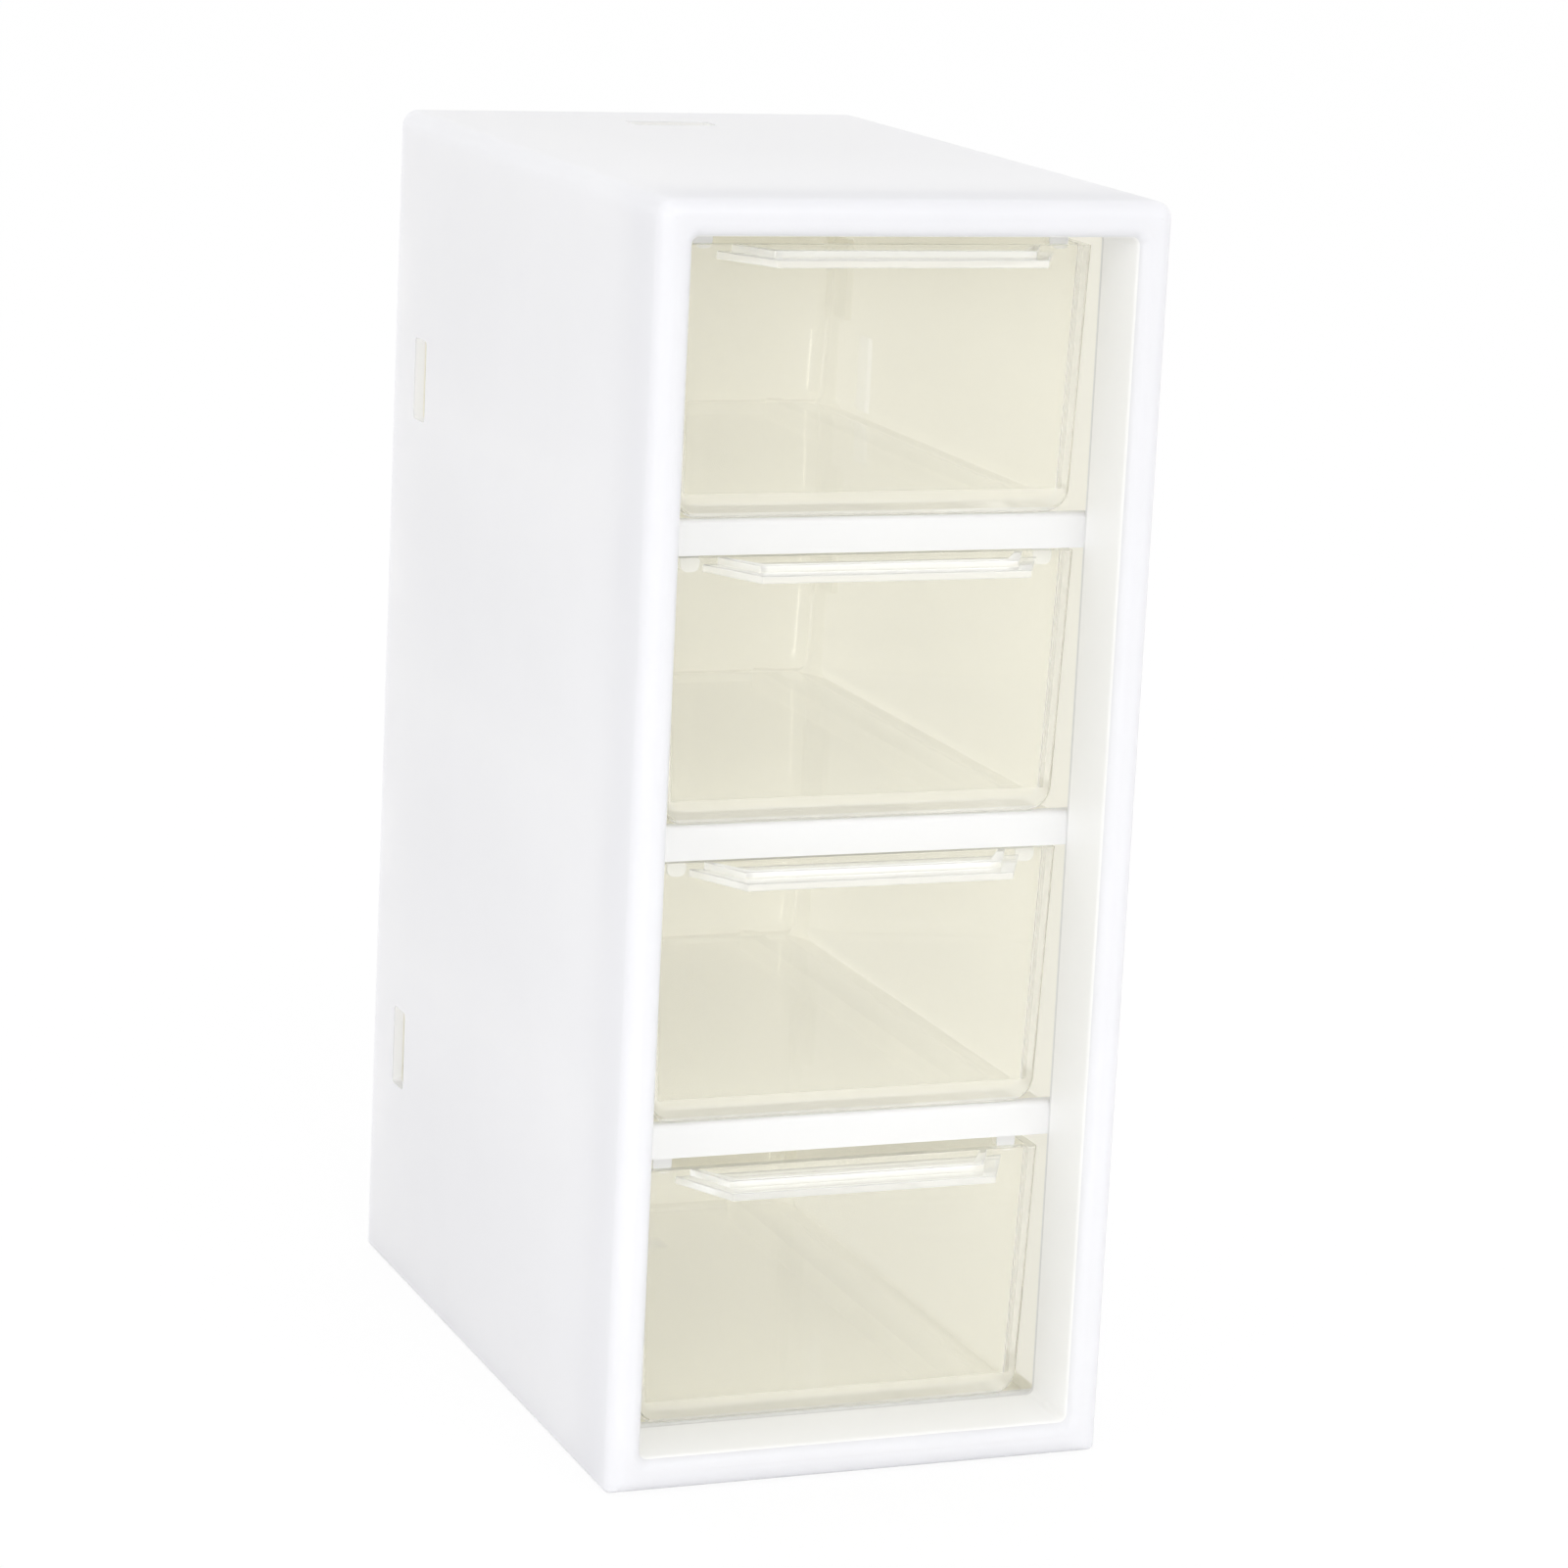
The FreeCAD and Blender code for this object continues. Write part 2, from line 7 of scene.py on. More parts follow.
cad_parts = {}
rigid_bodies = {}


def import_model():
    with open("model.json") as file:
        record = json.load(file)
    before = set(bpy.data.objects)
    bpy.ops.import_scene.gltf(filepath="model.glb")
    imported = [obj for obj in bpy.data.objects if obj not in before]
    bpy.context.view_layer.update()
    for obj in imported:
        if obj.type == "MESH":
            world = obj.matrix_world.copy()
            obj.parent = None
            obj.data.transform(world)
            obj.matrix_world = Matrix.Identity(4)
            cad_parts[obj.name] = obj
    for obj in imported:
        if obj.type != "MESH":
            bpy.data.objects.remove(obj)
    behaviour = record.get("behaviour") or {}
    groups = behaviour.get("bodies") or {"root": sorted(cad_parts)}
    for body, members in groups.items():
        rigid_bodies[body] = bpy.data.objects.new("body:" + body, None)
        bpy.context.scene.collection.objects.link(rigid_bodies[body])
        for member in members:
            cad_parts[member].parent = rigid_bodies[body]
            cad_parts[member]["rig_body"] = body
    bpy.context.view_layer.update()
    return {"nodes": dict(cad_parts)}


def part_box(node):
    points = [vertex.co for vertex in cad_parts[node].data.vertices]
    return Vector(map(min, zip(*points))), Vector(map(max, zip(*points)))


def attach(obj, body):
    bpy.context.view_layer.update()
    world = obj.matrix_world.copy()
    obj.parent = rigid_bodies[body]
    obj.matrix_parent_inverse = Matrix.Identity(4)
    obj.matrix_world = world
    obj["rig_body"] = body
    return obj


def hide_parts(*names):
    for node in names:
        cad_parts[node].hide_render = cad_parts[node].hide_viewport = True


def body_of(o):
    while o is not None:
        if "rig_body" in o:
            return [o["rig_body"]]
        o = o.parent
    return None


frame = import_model()

# THE CASE
# One injection moulding of white polystyrene: walls 1.8 mm thick with rounded edges, a sunk front,
# three crossbars with their shelves, runner ribs, stop nubs and slots for joining clips. The thin
# walls let some light through. The creamy glow inside is painted into the inner faces' colour, and
# the sunk front is painted whiter as painted light.


def add_node(tree, kind, settings=None, **inputs):
    """A node with its settings and its inputs, by name or as i0, i1, ..., each a value or a link."""
    made = tree.nodes.new(kind)
    for name, value in (settings or {}).items():
        setattr(made, name, value)
    for name, value in inputs.items():
        numbered = name[0] == "i" and name[1:].isdigit()
        socket = made.inputs[int(name[1:])] if numbered else made.inputs[name.replace("_", " ")]
        if isinstance(value, Figure):
            value = value.socket
        if isinstance(value, bpy.types.NodeSocket):
            tree.links.new(value, socket)
        else:
            socket.default_value = value
    return made


class Figure:
    """A figure in a node tree. Plain sums written with it become the tree's Math nodes."""

    def __init__(self, tree, socket):
        self.tree = tree
        self.socket = socket

    def worked(self, operation, *figures):
        given = {f"i{place}": figure for place, figure in enumerate(figures)}
        sum_node = add_node(self.tree, "ShaderNodeMath", {"operation": operation}, **given)
        return Figure(self.tree, sum_node.outputs[0])

    def __add__(self, other):
        return self.worked("ADD", self, other)

    def __sub__(self, other):
        return self.worked("SUBTRACT", self, other)

    def __rsub__(self, other):
        return self.worked("SUBTRACT", other, self)

    def __mul__(self, other):
        return self.worked("MULTIPLY", self, other)

    def __truediv__(self, other):
        return self.worked("DIVIDE", self, other)

    def __mod__(self, other):
        return self.worked("MODULO", self, other)

    __radd__ = __add__
    __rmul__ = __mul__

    def above(self, other):
        return self.worked("GREATER_THAN", self, other)

    def below(self, other):
        return self.worked("LESS_THAN", self, other)

    def least(self, other):
        return self.worked("MINIMUM", self, other)

    def most(self, other):
        return self.worked("MAXIMUM", self, other)

    def size(self):
        return self.worked("ABSOLUTE", self)

    def pick(self, yes, no):
        """The first choice where this mask is one, the other where it is nought."""
        return self * (yes - no) + no


def new_material(name):
    material = bpy.data.materials.new(name)
    material.use_nodes = True
    material.node_tree.nodes.clear()
    return material, material.node_tree


def moulded_skin():
    """Finish that both plastics share: broad flow marks and a fine grain, as roughness and height."""
    group = bpy.data.node_groups.new("moulded skin", "ShaderNodeTree")
    for name, start in (("Flow size", 60.0), ("Grain size", 2200.0), ("Roughness", 0.35),
                        ("Roughness spread", 0.06), ("Grain height", 0.3)):
        socket = group.interface.new_socket(name, in_out="INPUT", socket_type="NodeSocketFloat")
        socket.default_value = start
    for name in ("Flow", "Roughness", "Height"):
        group.interface.new_socket(name, in_out="OUTPUT", socket_type="NodeSocketFloat")
    given = add_node(group, "NodeGroupInput")
    result = add_node(group, "NodeGroupOutput")
    place = add_node(group, "ShaderNodeTexCoord").outputs["Object"]
    marks = add_node(group, "ShaderNodeTexNoise", Vector=place, Scale=given.outputs["Flow size"],
                     Detail=3.0)
    specks = add_node(group, "ShaderNodeTexNoise", Vector=place, Scale=given.outputs["Grain size"],
                      Detail=2.0)
    flow, grain = Figure(group, marks.outputs[0]), Figure(group, specks.outputs[0])
    base, spread, grain_height = (
        Figure(group, given.outputs[name]) for name in ("Roughness", "Roughness spread", "Grain height"))
    rough = (flow - 0.5) * spread + base
    height = grain * grain_height + flow
    for name, figure in (("Flow", flow), ("Roughness", rough), ("Height", height)):
        group.links.new(figure.socket, result.inputs[name])
    return group


skin = moulded_skin()


def blend(tree, mask, low, high):
    """One colour where the mask is nought, turning into the other where it is one."""
    return add_node(tree, "ShaderNodeMix", {"data_type": "RGBA"}, i0=mask, i6=low, i7=high).outputs[2]


# Colours, then the share of light that passes through, each for the parts of the mouldings. Only the
# outside colour is the plastic's own; the sunk front, crossbars and inside hold painted light and shade.
CASE_OUTSIDE = (0.797, 0.797, 0.826, 1.0)
# Painted light: the sunk front and the cut slots are painted whiter than the outside.
CASE_RECESS_PAINTED_LIGHT = (0.985, 0.985, 0.985, 1.0)
# Painted shade: the crossbars are painted darker than the outside.
CASE_BARS_PAINTED_SHADE = (0.785, 0.785, 0.785, 1.0)
# Painted glow: the cream of the inner faces stands in for light that comes through the walls.
CASE_INSIDE_PAINTED_GLOW = (0.973, 0.954, 0.876, 1.0)
LIGHT_THROUGH_OUTSIDE = (0.97, 0.975, 0.995, 1.0)
LIGHT_THROUGH_INSIDE = (0.99, 0.973, 0.90, 1.0)
OUTSIDE_SHARE, RECESS_SHARE, INSIDE_SHARE, END_SHARE = 0.15, 0.05, 0.52, 0.1
CUT_SHARE = 0.9
# Depths from the outside at which one part ends and the next begins.
SKIN_DEPTH = 0.0012
WALL = 0.0018
CUT_INNER_MARGIN = 0.0001
CUT_OUTER_MARGIN = 0.0002
END_DEPTH = 0.004
BARS_FRONT = 0.0126
BARS_BACK = 0.0156


def within(figure, low, high):
    return figure.above(low) * figure.below(high)


def white_plastic(name, low, high, inside_share):
    """White plastic that lets light through. Its colour holds painted light and shade: it is painted
    whitest in the sunk front and in the cut slots, a little less white outside, painted darker on the
    crossbars, and painted creamy within as a glow."""
    material, tree = new_material(name)
    place = add_node(tree, "ShaderNodeTexCoord").outputs["Object"]
    apart = add_node(tree, "ShaderNodeSeparateXYZ", i0=place)
    x, y, z = (Figure(tree, figure) for figure in apart.outputs)
    hollow = (x.size().below(high.x - SKIN_DEPTH) * within(y, low.y + SKIN_DEPTH, high.y - SKIN_DEPTH)
              * within(z, low.z + SKIN_DEPTH, high.z - SKIN_DEPTH))
    between = within(z, low.z + END_DEPTH, high.z - END_DEPTH)
    middle = within(y, low.y + BARS_BACK, high.y - END_DEPTH)
    side_cut = within(x.size(), high.x - WALL + CUT_INNER_MARGIN, high.x - CUT_OUTER_MARGIN) * between
    top_cut = (within(z, high.z - WALL + CUT_INNER_MARGIN, high.z - CUT_OUTER_MARGIN)
               * x.size().below(high.x - END_DEPTH))
    cut = side_cut.most(top_cut) * middle
    bars = hollow * within(y, low.y + BARS_FRONT, low.y + BARS_BACK)
    deep = hollow * y.above(low.y + BARS_BACK) * (1 - cut)
    finish = add_node(tree, "ShaderNodeGroup", {"node_tree": skin})
    finish.inputs["Roughness"].default_value = 0.3
    # Painted light and shade: the sunk front and slots whiter, the crossbars darker, the inside a cream
    # glow.
    outside = blend(tree, hollow.most(cut), CASE_OUTSIDE, CASE_RECESS_PAINTED_LIGHT)
    colour = blend(tree, deep, blend(tree, bars, outside, CASE_BARS_PAINTED_SHADE), CASE_INSIDE_PAINTED_GLOW)
    mottle = add_node(tree, "ShaderNodeMapRange", i0=finish.outputs["Flow"],
                      i1=0.3, i2=0.7, i3=0.985, i4=1.0)
    shade = add_node(tree, "ShaderNodeMix", {"data_type": "RGBA", "blend_type": "MULTIPLY"}, i0=1.0,
                     i6=colour, i7=mottle.outputs[0])
    bump = add_node(tree, "ShaderNodeBump", Strength=0.10, Distance=0.0003, Height=finish.outputs["Height"])
    surface = add_node(tree, "ShaderNodeBsdfPrincipled", Base_Color=shade.outputs[2],
                       Roughness=finish.outputs["Roughness"], Normal=bump.outputs[0], IOR=1.5)
    # The light through the inner faces is tinted cream too, going with the painted glow.
    through = blend(tree, deep, LIGHT_THROUGH_OUTSIDE, LIGHT_THROUGH_INSIDE)
    glow = add_node(tree, "ShaderNodeBsdfTranslucent", Color=through, Normal=bump.outputs[0])
    front_share = cut.pick(CUT_SHARE, hollow.pick(RECESS_SHARE, OUTSIDE_SHARE))
    share = deep.pick(between.pick(inside_share, END_SHARE), front_share)
    both = add_node(tree, "ShaderNodeMixShader", i0=share, i1=surface.outputs[0], i2=glow.outputs[0])
    far_side = add_node(tree, "ShaderNodeNewGeometry").outputs["Backfacing"]
    clear = add_node(tree, "ShaderNodeBsdfTransparent")
    # A wall scatters the light once: its far side is clear.
    walled = add_node(tree, "ShaderNodeMixShader", i0=far_side, i1=both.outputs[0], i2=clear.outputs[0])
    add_node(tree, "ShaderNodeOutputMaterial", Surface=walled.outputs[0])
    return material


case_low, case_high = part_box("case_shell")
case_plastic = white_plastic("white_plastic_case", case_low, case_high, INSIDE_SHARE)
frame["nodes"]["case_shell"].material_slots[0].material = case_plastic

# THE BACK PANEL
# A flat moulding of the same white polystyrene, pressed into the rear opening. It is held by a pair
# of snap tabs behind each drawer, whose ridges click into grooves inside the side walls.
PANEL_SHARE = 0.25
PANEL_THICKNESS = 0.0018
TAB_HEIGHT = 0.014
TAB_REACH = 0.0055
TAB_THICKNESS = 0.0013
RIDGE_HEIGHT = 0.0004
RIDGE_WIDTH = 0.0016
RIDGE_END_GAP = 0.0007
TAB_LEVELS = (0.027925, 0.07625, 0.12375, 0.172075)
PANEL_EDGE = 0.00015
BEVELLED_FROM = math.radians(32)
SHARP_FROM = math.radians(50)


def rule_tree(name, geometry, lengths, others, result):
    """An empty geometry node tree with its named inputs, and the node that gives them out."""
    tree = bpy.data.node_groups.new(name, "GeometryNodeTree")
    tree.is_modifier = True
    tree.interface.new_socket(geometry, in_out="INPUT", socket_type="NodeSocketGeometry")
    for length in lengths:
        tree.interface.new_socket(length, in_out="INPUT", socket_type="NodeSocketFloat")
    for other, kind in others:
        tree.interface.new_socket(other, in_out="INPUT", socket_type="NodeSocket" + kind)
    tree.interface.new_socket("Plastic", in_out="INPUT", socket_type="NodeSocketMaterial")
    tree.interface.new_socket(result, in_out="OUTPUT", socket_type="NodeSocketGeometry")
    given = add_node(tree, "NodeGroupInput").outputs
    return tree, given, [Figure(tree, given[length]) for length in lengths]


def vector(tree, x, y, z):
    return add_node(tree, "ShaderNodeCombineXYZ", X=x, Y=y, Z=z).outputs[0]


def union(tree, first, second):
    """Two solids made one."""
    whole = add_node(tree, "GeometryNodeMeshBoolean", {"operation": "UNION", "solver": "EXACT"},
                     Self_Intersection=True)
    for part in (first, second):
        tree.links.new(part, whole.inputs["Mesh 2"])
    return whole.outputs["Mesh"]


def finish_rule(tree, geometry, plastic, result):
    """Every tree ends in plain geometry that carries its material."""
    plain = add_node(tree, "GeometryNodeRealizeInstances", Geometry=geometry)
    painted = add_node(tree, "GeometryNodeSetMaterial", Geometry=plain.outputs[0], Material=plastic)
    add_node(tree, "NodeGroupOutput", **{result: painted.outputs[0]})
    return tree


def panel_rule():
    """The plate, with a snap tab on each of the given points. A tab stands on the panel's front and
    its ridge, a low three-sided bar, looks outwards."""
    tree, given, lengths = rule_tree(
        "snap-in back panel", "Tab places",
        ("Half width", "Low edge", "High edge", "Front", "Thickness", "Tab height", "Tab reach",
         "Tab thickness", "Ridge height", "Ridge width", "Ridge end gap"), (), "Panel")
    (half, low, high, front, thickness, tab_height, reach, tab_thickness, ridge, ridge_width,
     end_gap) = lengths
    sheet = add_node(tree, "GeometryNodeMeshCube", Size=vector(tree, half * 2, thickness, high - low))
    plate = add_node(tree, "GeometryNodeTransform", Geometry=sheet.outputs["Mesh"],
                     Translation=vector(tree, 0.0, front + thickness / 2, (low + high) / 2))
    root = thickness / 2
    block = add_node(tree, "GeometryNodeMeshCube",
                     Size=vector(tree, tab_thickness, reach + root, tab_height))
    tongue = add_node(tree, "GeometryNodeTransform", Geometry=block.outputs["Mesh"],
                      Translation=vector(tree, tab_thickness / -2, (root - reach) / 2, 0.0))
    bar = add_node(tree, "GeometryNodeMeshCylinder", Vertices=3, Radius=1.0, Depth=1.0)
    crest = add_node(tree, "GeometryNodeTransform", Geometry=bar.outputs["Mesh"],
                     Translation=vector(tree, ridge / 3, ridge_width / 2 + end_gap - reach, 0.0),
                     Scale=vector(tree, ridge * (2 / 3), ridge_width / math.sqrt(3), tab_height))
    tab = union(tree, tongue.outputs[0], crest.outputs[0])
    point = add_node(tree, "GeometryNodeInputPosition").outputs[0]
    across = Figure(tree, add_node(tree, "ShaderNodeSeparateXYZ", i0=point).outputs["X"])
    turned = across.below(0.0) * math.pi
    tabs = add_node(tree, "GeometryNodeInstanceOnPoints", Points=given["Tab places"], Instance=tab,
                    Rotation=vector(tree, 0.0, turned, 0.0))
    stood = add_node(tree, "GeometryNodeRealizeInstances", Geometry=tabs.outputs[0])
    return finish_rule(tree, union(tree, plate.outputs[0], stood.outputs[0]), given["Plastic"], "Panel")


def into_object(mesh, name):
    data = bpy.data.meshes.new(name)
    mesh.to_mesh(data)
    mesh.free()
    made = bpy.data.objects.new(name, data)
    bpy.context.scene.collection.objects.link(made)
    return made


def settled(made, name):
    """The object's mesh with all its modifiers worked in, as a new plain object; the old one goes."""
    graph = bpy.context.evaluated_depsgraph_get()
    data = bpy.data.meshes.new_from_object(made.evaluated_get(graph))
    data.name = name
    bpy.data.objects.remove(made)
    plain = bpy.data.objects.new(name, data)
    bpy.context.scene.collection.objects.link(plain)
    return plain


def worked_by(made, tree, figures, name):
    """The object put through a node tree, whose inputs are set by their identifiers."""
    maker = made.modifiers.new("rule", "NODES")
    maker.node_group = tree
    for item in tree.interface.items_tree:
        if item.name in figures:
            maker[item.identifier] = figures[item.name]
    return settled(made, name)


def soften(made, width, name):
    """Take the knife edges off, and let flat faces keep their own shading."""
    mesh = bmesh.new()
    mesh.from_mesh(made.data)
    bmesh.ops.dissolve_degenerate(mesh, dist=1e-6, edges=mesh.edges)
    sharp = mesh.edges.layers.float.new("bevel_weight_edge")
    for edge in mesh.edges:
        if edge.is_convex and edge.calc_face_angle() > BEVELLED_FROM:
            edge[sharp] = 1.0
    mesh.to_mesh(made.data)
    mesh.free()
    cut = made.modifiers.new("softened", "BEVEL")
    cut.width = width
    cut.segments = 2
    cut.limit_method = "WEIGHT"
    made = settled(made, name)
    for face in made.data.polygons:
        face.use_smooth = True
    made.data.set_sharp_from_angle(angle=SHARP_FROM)
    weights = made.modifiers.new("flat_faces", "WEIGHTED_NORMAL")
    weights.keep_sharp = True
    return settled(made, name)


def fit_in_frame(piece, node):
    """The piece rides its node's body and stands in for the node, which is hidden."""
    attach(piece, body_of(frame["nodes"][node])[0])
    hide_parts(node)


# The panel's inner face and tabs take the case's painted cream glow.
panel_plastic = white_plastic("white_plastic_panel", case_low, case_high, PANEL_SHARE)
panel_low, panel_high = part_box("back_panel")
panel_half = panel_high.x - RIDGE_HEIGHT
panel_front = panel_high.y - PANEL_THICKNESS
places = bmesh.new()
for side in (-1, 1):
    for level in TAB_LEVELS:
        places.verts.new((side * panel_half, panel_front, level))
panel = worked_by(into_object(places, "tab_places"), panel_rule(), {
    "Half width": panel_half, "Low edge": panel_low.z, "High edge": panel_high.z, "Front": panel_front,
    "Thickness": PANEL_THICKNESS, "Tab height": TAB_HEIGHT, "Tab reach": TAB_REACH,
    "Tab thickness": TAB_THICKNESS, "Ridge height": RIDGE_HEIGHT, "Ridge width": RIDGE_WIDTH,
    "Ridge end gap": RIDGE_END_GAP, "Plastic": panel_plastic}, "panel_with_tabs")
panel = soften(panel, PANEL_EDGE, "back_panel_white")
fit_in_frame(panel, "back_panel")

# THE CLEAR DRAWERS
# Each drawer is one moulding of clear polystyrene, 1.6 mm thick, with sides that lean in to its
# bottom. Its handle, moulded in one with it, is a plate that narrows to its front and a raised lip.
# The four are alike and slide on the runner ribs of the case.
DRAWER_WALL = 0.0016
SIDE_LEAN = 0.00145
BACK_ROUND = 0.0038
FRONT_ROUND = 0.0008
HANDLE_REACH = 0.0108
HANDLE_HALF = 0.022
HANDLE_ROOT_HALF = 0.0276
HANDLE_DROP = 0.0022
HANDLE_PLATE = 0.0012
LIP_SETBACK = 0.0032
LIP_SIDE_INSET = 0.0024
LIP_THICKNESS = 0.0014
ROUND_STEPS = 8
KNIFE_EDGE = 0.0002
FRAME_AREA = 8e-5
FIRST_BOUNCES = 1.5


def clear_plastic(name, colour, cleared, rough):
    """Clear plastic with a faint haze. Shadows and scattered light pass it almost undimmed."""
    material, tree = new_material(name)
    finish = add_node(tree, "ShaderNodeGroup", {"node_tree": skin}, Roughness=rough)
    finish.inputs["Roughness spread"].default_value = 0.03
    finish.inputs["Flow size"].default_value = 25.0
    glass = add_node(tree, "ShaderNodeBsdfPrincipled", Base_Color=colour, IOR=1.57,
                     Roughness=finish.outputs["Roughness"])
    glass.inputs["Transmission Weight"].default_value = cleared
    clear = add_node(tree, "ShaderNodeBsdfTransparent", Color=(0.985, 0.985, 0.968, 1.0))
    path = add_node(tree, "ShaderNodeLightPath").outputs
    passes = Figure(tree, path["Is Shadow Ray"]).most(path["Is Diffuse Ray"])
    passes = passes.most(Figure(tree, path["Glossy Depth"]).above(FIRST_BOUNCES))
    both = add_node(tree, "ShaderNodeMixShader", i0=passes, i1=glass.outputs[0], i2=clear.outputs[0])
    add_node(tree, "ShaderNodeOutputMaterial", Surface=both.outputs[0])
    return material


def drawer_rule():
    """The tub as one folded sheet: round the U of its section outside, back round it inside, and
    from its front wall to its back wall. The sheet's ends close in the middle of those walls."""
    tree, given, lengths = rule_tree(
        "clear drawer", "Handle",
        ("Half width", "Length", "Height", "Wall", "Side lean", "Back round", "Front round"),
        (("Round steps", "Int"), ("Place", "Vector")), "Drawer")
    half, length, height, wall, lean, back_round, front_round = lengths
    steps = Figure(tree, given["Round steps"])

    # The sheet's columns go round the section, its rings from front to back.
    section = steps * 2 + 4
    rings = steps * 2 + 5
    sheet = add_node(tree, "GeometryNodeMeshGrid", Vertices_X=section * 2 + 1, Vertices_Y=rings)
    index = Figure(tree, add_node(tree, "GeometryNodeInputIndex").outputs[0])
    turns = index / rings + 0.001
    column = turns.worked("FLOOR", turns) % (section * 2)
    ring = index % rings

    # Where a column lies: on the inner skin, on the right, and how far down from the rim.
    inside = column.above(section - 0.5)
    along = inside.pick(section * 2 - 1 - column, column)
    right = along.above(section / 2 - 0.5)
    down = right.pick(section - 1 - along, along)
    rim = down.below(0.5)

    # Where a ring lies: the closed end, the frame of the front, its round, then the back's round.
    step = (ring - 2).most(0).least(rings - 4)
    frame_ring = ring.below(1.5)
    at_back = step.above(steps + 0.5)
    turn = at_back.pick(step - steps - 1, step) / steps * (math.pi / 2)
    sine, cosine = turn.worked("SINE", turn), turn.worked("COSINE", turn)
    skin_wall = inside * wall
    skin_round = back_round - skin_wall
    place_along = at_back.pick(length - skin_wall - skin_round * (1 - sine),
                               skin_wall + front_round * (1 - cosine))
    inset = skin_wall + at_back.pick(skin_round * (1 - cosine), front_round * (1 - sine + frame_ring))

    # The section: leaning sides down to round lower corners.
    slant = (lean * lean + height * height).worked("SQRT", lean * lean + height * height)
    tilt = lean.worked("ARCTAN2", lean, height)
    centre = half - lean - back_round * (slant - lean) / height
    swing = -1 * tilt - (math.pi / 2 - tilt) * (down - 1) / steps
    radius = (back_round - inset).most(0)
    out = rim.pick(half - inset * slant / height, centre + radius * swing.worked("COSINE", swing))
    up = rim.pick(height, back_round + radius * swing.worked("SINE", swing))
    closed = ring.below(0.5).most(ring.above(rings - 1.5))
    point = vector(tree, (right * 2 - 1) * out * (1 - closed), place_along, up)

    folded = add_node(tree, "GeometryNodeSetPosition", Geometry=sheet.outputs["Mesh"], Position=point)
    tub = add_node(tree, "GeometryNodeMergeByDistance", Geometry=folded.outputs[0], Distance=1e-6)
    joined = union(tree, given["Handle"], tub.outputs[0])
    placed = add_node(tree, "GeometryNodeTransform", Geometry=joined, Translation=given["Place"])
    return finish_rule(tree, placed.outputs[0], given["Plastic"], "Drawer")


def add_slab(mesh, corners, low, high):
    """A flat slab with the given outline."""
    lower = [mesh.verts.new((x, y, low)) for x, y in corners]
    upper = [mesh.verts.new((x, y, high)) for x, y in corners]
    mesh.faces.new(reversed(lower))
    mesh.faces.new(upper)
    for index in range(len(corners)):
        after = (index + 1) % len(corners)
        mesh.faces.new((lower[index], lower[after], upper[after], upper[index]))


def make_handle(height):
    """The handle's plate and lip, whose root runs into the drawer's front."""
    mesh = bmesh.new()
    root = DRAWER_WALL / 2
    base = height - HANDLE_DROP
    half, wide = HANDLE_HALF, HANDLE_ROOT_HALF
    add_slab(mesh, [(-wide, root), (-wide, 0), (-half, -HANDLE_REACH),
                    (half, -HANDLE_REACH), (wide, 0), (wide, root)], base, base + HANDLE_PLATE)
    lean = (wide - half) / HANDLE_REACH
    front = half - LIP_SIDE_INSET + lean * LIP_SETBACK
    ends = wide - LIP_SIDE_INSET
    reach = HANDLE_REACH - LIP_SETBACK
    thick = LIP_THICKNESS
    add_slab(mesh, [(-ends, root), (-ends, 0), (-front, -reach), (front, -reach), (ends, 0), (ends, root),
                    (ends - thick, root), (ends - thick, 0), (front - thick, thick - reach),
                    (thick - front, thick - reach), (thick - ends, 0), (thick - ends, root)],
             base + HANDLE_PLATE / 2, height)
    return mesh


drawer_clear = clear_plastic("clear_plastic_drawer", (0.95, 0.94, 0.885, 1.0), 0.84, 0.025)
# The handle's hazier plastic, also put on the round at the foot as a painted highlight.
handle_and_foot_highlight_clear = clear_plastic("clear_plastic_handle_and_foot_highlight", (0.985, 0.985, 0.97, 1.0), 0.68, 0.05)
# Painted shade: a darker, hazier plastic for the frame of the front, drawn as a dark edge line.
edge_shade_clear = clear_plastic("clear_plastic_painted_edge_shade", (0.91, 0.895, 0.825, 1.0), 0.66, 0.05)
tub_rule = drawer_rule()
for node in ("drawer_top", "drawer_upper", "drawer_lower", "drawer_bottom"):
    low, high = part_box(node)
    height = high.z - low.z
    front = low.y + HANDLE_REACH
    grip = into_object(make_handle(height), node + "_grip")
    tub = worked_by(grip, tub_rule, {
        "Half width": high.x, "Length": high.y - front, "Height": height, "Wall": DRAWER_WALL,
        "Side lean": SIDE_LEAN, "Back round": BACK_ROUND, "Front round": FRONT_ROUND,
        "Round steps": ROUND_STEPS, "Place": (0.0, front, low.z), "Plastic": drawer_clear},
        node + "_joined")
    drawer = soften(tub, KNIFE_EDGE, node + "_clear")
    drawer.data.materials.append(handle_and_foot_highlight_clear)
    drawer.data.materials.append(edge_shade_clear)
    # The handle is hazier. The round at the foot takes the handle's milkier plastic as a painted highlight,
    # and the frame of the front takes a darker, hazier plastic as a painted dark edge line.
    for face in drawer.data.polygons:
        ahead = face.center.y < front - KNIFE_EDGE
        foot_highlight = face.center.z < low.z + FRONT_ROUND and face.center.y < front + FRONT_ROUND
        beside = abs(face.center.x) > HANDLE_ROOT_HALF or face.center.z < low.z + BACK_ROUND
        painted_edge_shade = abs(face.center.y - front) < KNIFE_EDGE / 10 and face.area < FRAME_AREA and beside
        face.material_index = 1 if ahead or foot_highlight else 2 if painted_edge_shade else 0
    fit_in_frame(drawer, node)

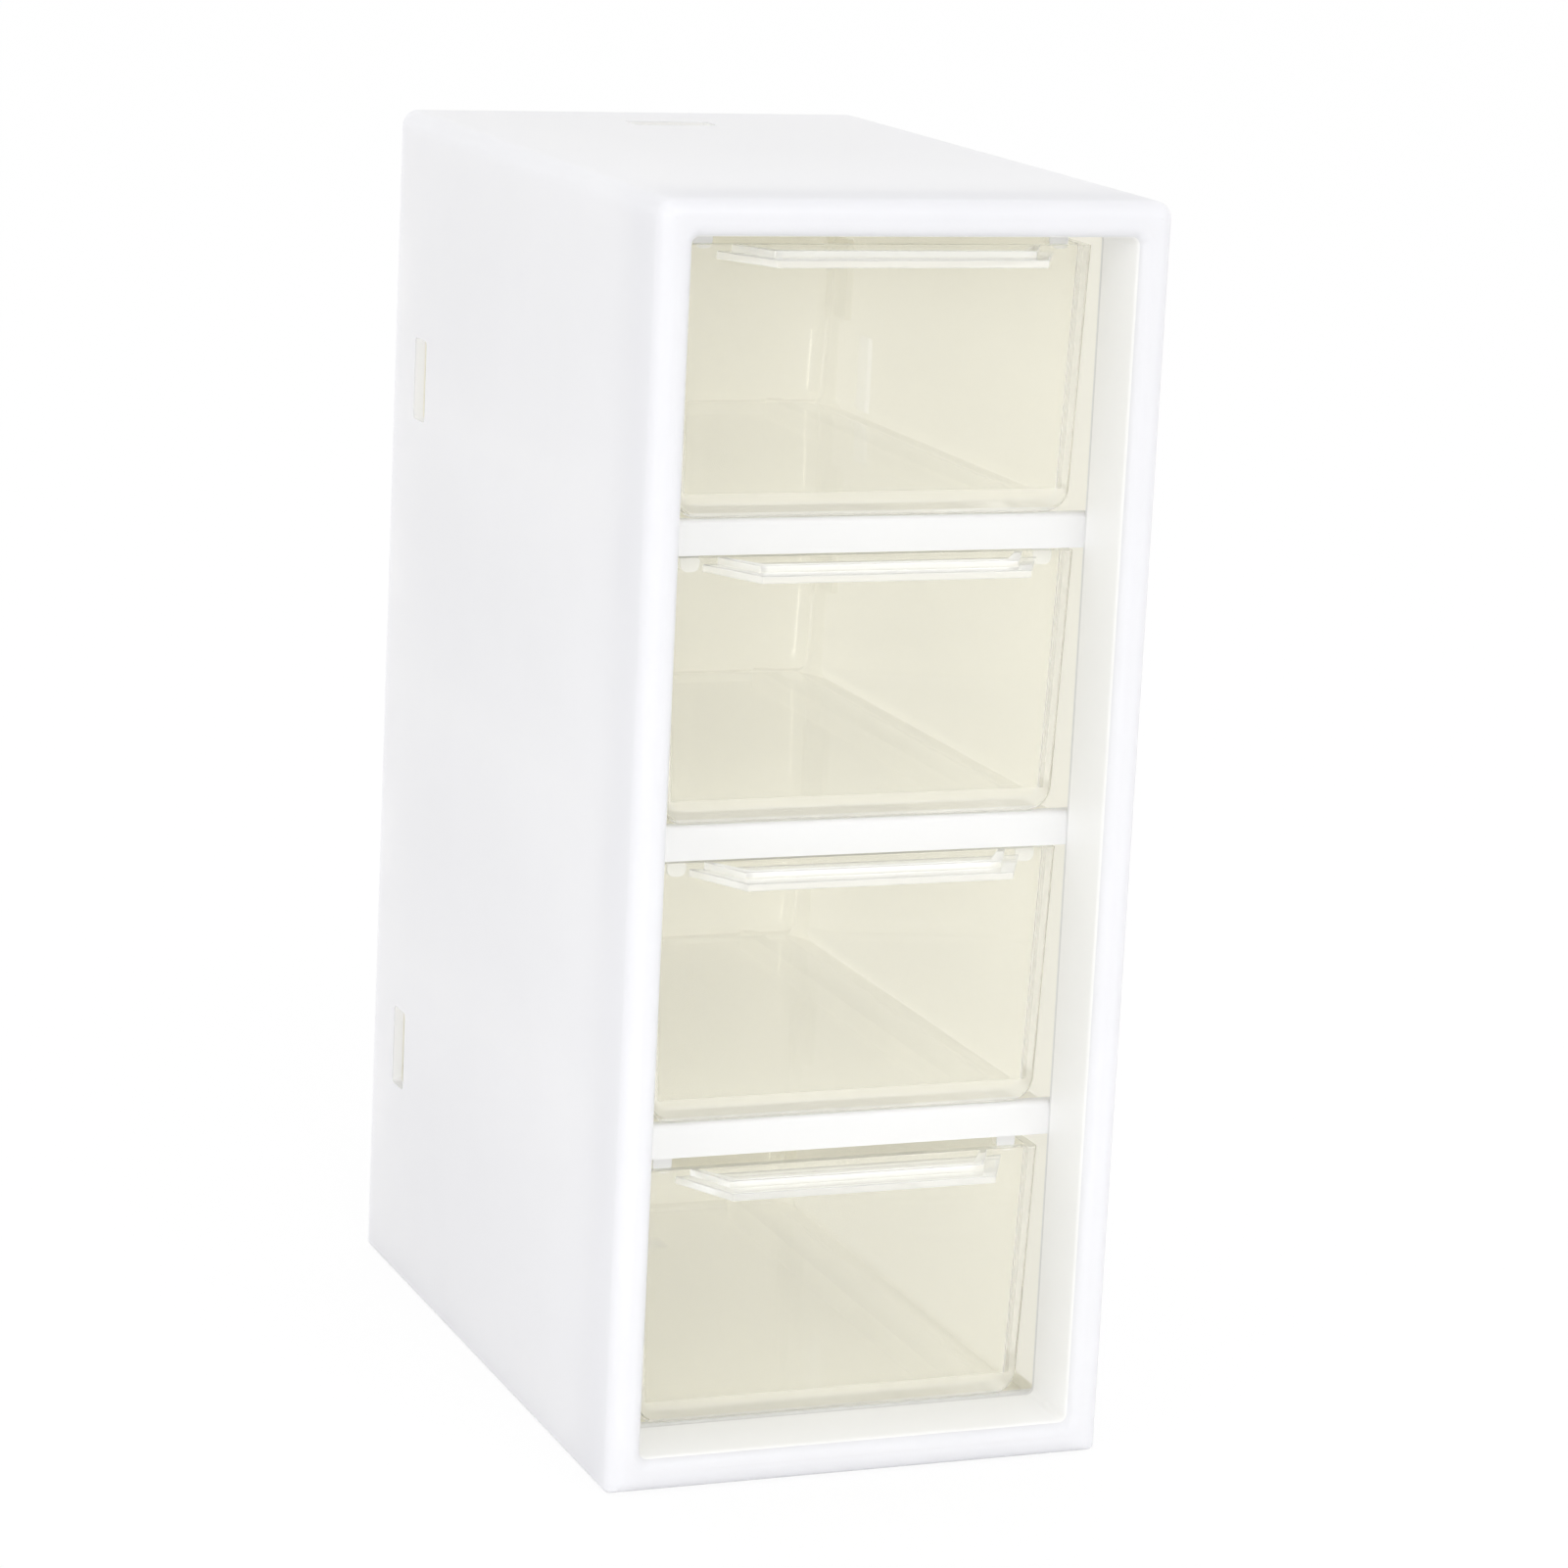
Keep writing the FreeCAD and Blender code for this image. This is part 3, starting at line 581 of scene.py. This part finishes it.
# FLOOR, LIGHT AND CAMERA
# A flat white studio floor, a bright even room and four soft lamps.
world = bpy.data.worlds.new("studio")
bpy.context.scene.world = world
world.use_nodes = True
air = world.node_tree
air.nodes.clear()
sky = add_node(air, "ShaderNodeBackground", Color=(1.0, 1.0, 1.0, 1.0), Strength=1.03)
add_node(air, "ShaderNodeOutputWorld", Surface=sky.outputs[0])

FLOOR_HALF = 8.0
FLOOR_DROP = 0.00005
FLOOR_GLOW = 0.9
floor_mesh = bmesh.new()
bmesh.ops.create_grid(floor_mesh, x_segments=1, y_segments=1, size=FLOOR_HALF)
floor = into_object(floor_mesh, "floor")
floor.data.transform(Matrix.Translation((0, 0, -FLOOR_DROP)))
floor_paint, tree = new_material("floor_paint")
paint = add_node(tree, "ShaderNodeBsdfDiffuse", Color=(0.95, 0.95, 0.95, 1.0))
own = add_node(tree, "ShaderNodeEmission", Strength=1.0)
shown = Figure(tree, add_node(tree, "ShaderNodeLightPath").outputs["Is Camera Ray"]) * FLOOR_GLOW
both = add_node(tree, "ShaderNodeMixShader", i0=shown, i1=paint.outputs[0], i2=own.outputs[0])
add_node(tree, "ShaderNodeOutputMaterial", Surface=both.outputs[0])
floor.data.materials.append(floor_paint)


def soft_lamp(name, place, aim, width, power, fan):
    """A square lamp that looks at its aim, with its fan of light in degrees."""
    light = bpy.data.lights.new(name, "AREA")
    light.shape = "SQUARE"
    light.size = width
    light.energy = power
    light.spread = math.radians(fan)
    lamp = bpy.data.objects.new(name, light)
    lamp.location = place
    lamp.rotation_euler = (Vector(aim) - Vector(place)).to_track_quat("-Z", "Y").to_euler()
    bpy.context.scene.collection.objects.link(lamp)


soft_lamp("front_softbox", (-0.1, -1.5, 0.35), (0, 0, 0.1), 1.0, 0.2, 180)
soft_lamp("low_softbox", (-0.15, -0.9, 0.16), (0, -0.06, 0.0), 0.25, 0.036, 24)
soft_lamp("top_softbox", (0.1, -1.1, 1.1), (0, 0, 0.1), 0.8, 3.2, 180)
soft_lamp("left_softbox", (-1.2, -0.7, 0.25), (0, 0, 0.08), 0.8, 2.6, 180)

# The camera fitted to the outline of the case in the photo, whose side is PHOTO_SIDE pixels.
PHOTO_SIDE = 1601
FOCAL_PIXELS = 5235.9
SENSOR = 36.0
camera_data = bpy.data.cameras.new("camera")
camera = bpy.data.objects.new("camera", camera_data)
bpy.context.scene.collection.objects.link(camera)
bpy.context.scene.camera = camera
camera_data.sensor_width = SENSOR
camera_data.lens = SENSOR * FOCAL_PIXELS / PHOTO_SIDE
camera_data.clip_start = 0.05
camera_data.clip_end = 20.0
turn, drop, roll = 0.379812, 0.221331, 0.0485666
forward = Vector((math.sin(turn) * math.cos(drop), math.cos(turn) * math.cos(drop), -math.sin(drop)))
right = forward.cross(Vector((0, 0, 1))).normalized()
up = right.cross(forward)
tilted_right = right * math.cos(roll) + up * math.sin(roll)
tilted_up = up * math.cos(roll) - right * math.sin(roll)
stance = Matrix((tilted_right, tilted_up, -forward)).transposed().to_4x4()
stance.translation = Vector((-0.29778, -0.76535, 0.28179))
camera.matrix_world = stance

bpy.context.scene.view_settings.view_transform = "Standard"
